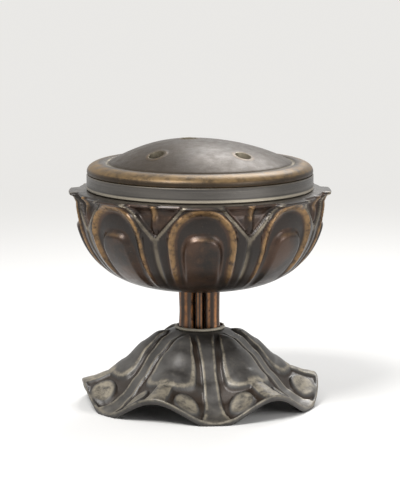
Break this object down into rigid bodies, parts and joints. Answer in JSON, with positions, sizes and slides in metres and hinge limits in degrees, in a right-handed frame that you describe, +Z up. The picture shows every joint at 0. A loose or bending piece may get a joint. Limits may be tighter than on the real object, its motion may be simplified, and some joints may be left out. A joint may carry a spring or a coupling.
{
  "type": "lotus-shaped incense burner",
  "caption": "Lidded bronze incense burner: a lotus-petal bowl on a stalk stem and an upturned lotus-leaf foot, with smoke holes in a domed lift-off lid.",
  "frame": {"origin": "centre of the plane that the foot stands on", "axes": "+Z up; the side shown in the picture faces -Y; +X to its right"},
  "size_m": [0.0996, 0.0996, 0.1008],
  "materials": {
    "lid_bronze": "worn brown patina, rubbed golden on the shoulder",
    "collar_bronze": "turned, grey-brown patina",
    "bowl_bronze": "dark brown patina, rubbed golden on the raised edges",
    "stem_bronze": "reddish-brown patina",
    "solder": "dull grey solder",
    "foot_bronze": "dusty grey-brown patina"
  },
  "bodies": {
    "stand": {"mouth_collar": "collar_bronze", "petal_bowl": "bowl_bronze", "stalk_1": "stem_bronze", "stalk_2": "stem_bronze", "stalk_3": "stem_bronze", "stalk_4": "stem_bronze", "stalk_5": "stem_bronze", "stem_seat_ring": "solder", "core_tang": "stem_bronze", "bowl_rove": "stem_bronze", "foot_rove": "stem_bronze", "leaf_foot": "foot_bronze"},
    "lid": {"lid_cover": "lid_bronze", "lid_spigot_ring": "lid_bronze"}
  },
  "joints": [
    {"name": "lid_lift", "type": "slide", "parent": "stand", "child": "lid", "axis": [0, 0, 1], "range_m": [0, 0.04]}
  ]
}
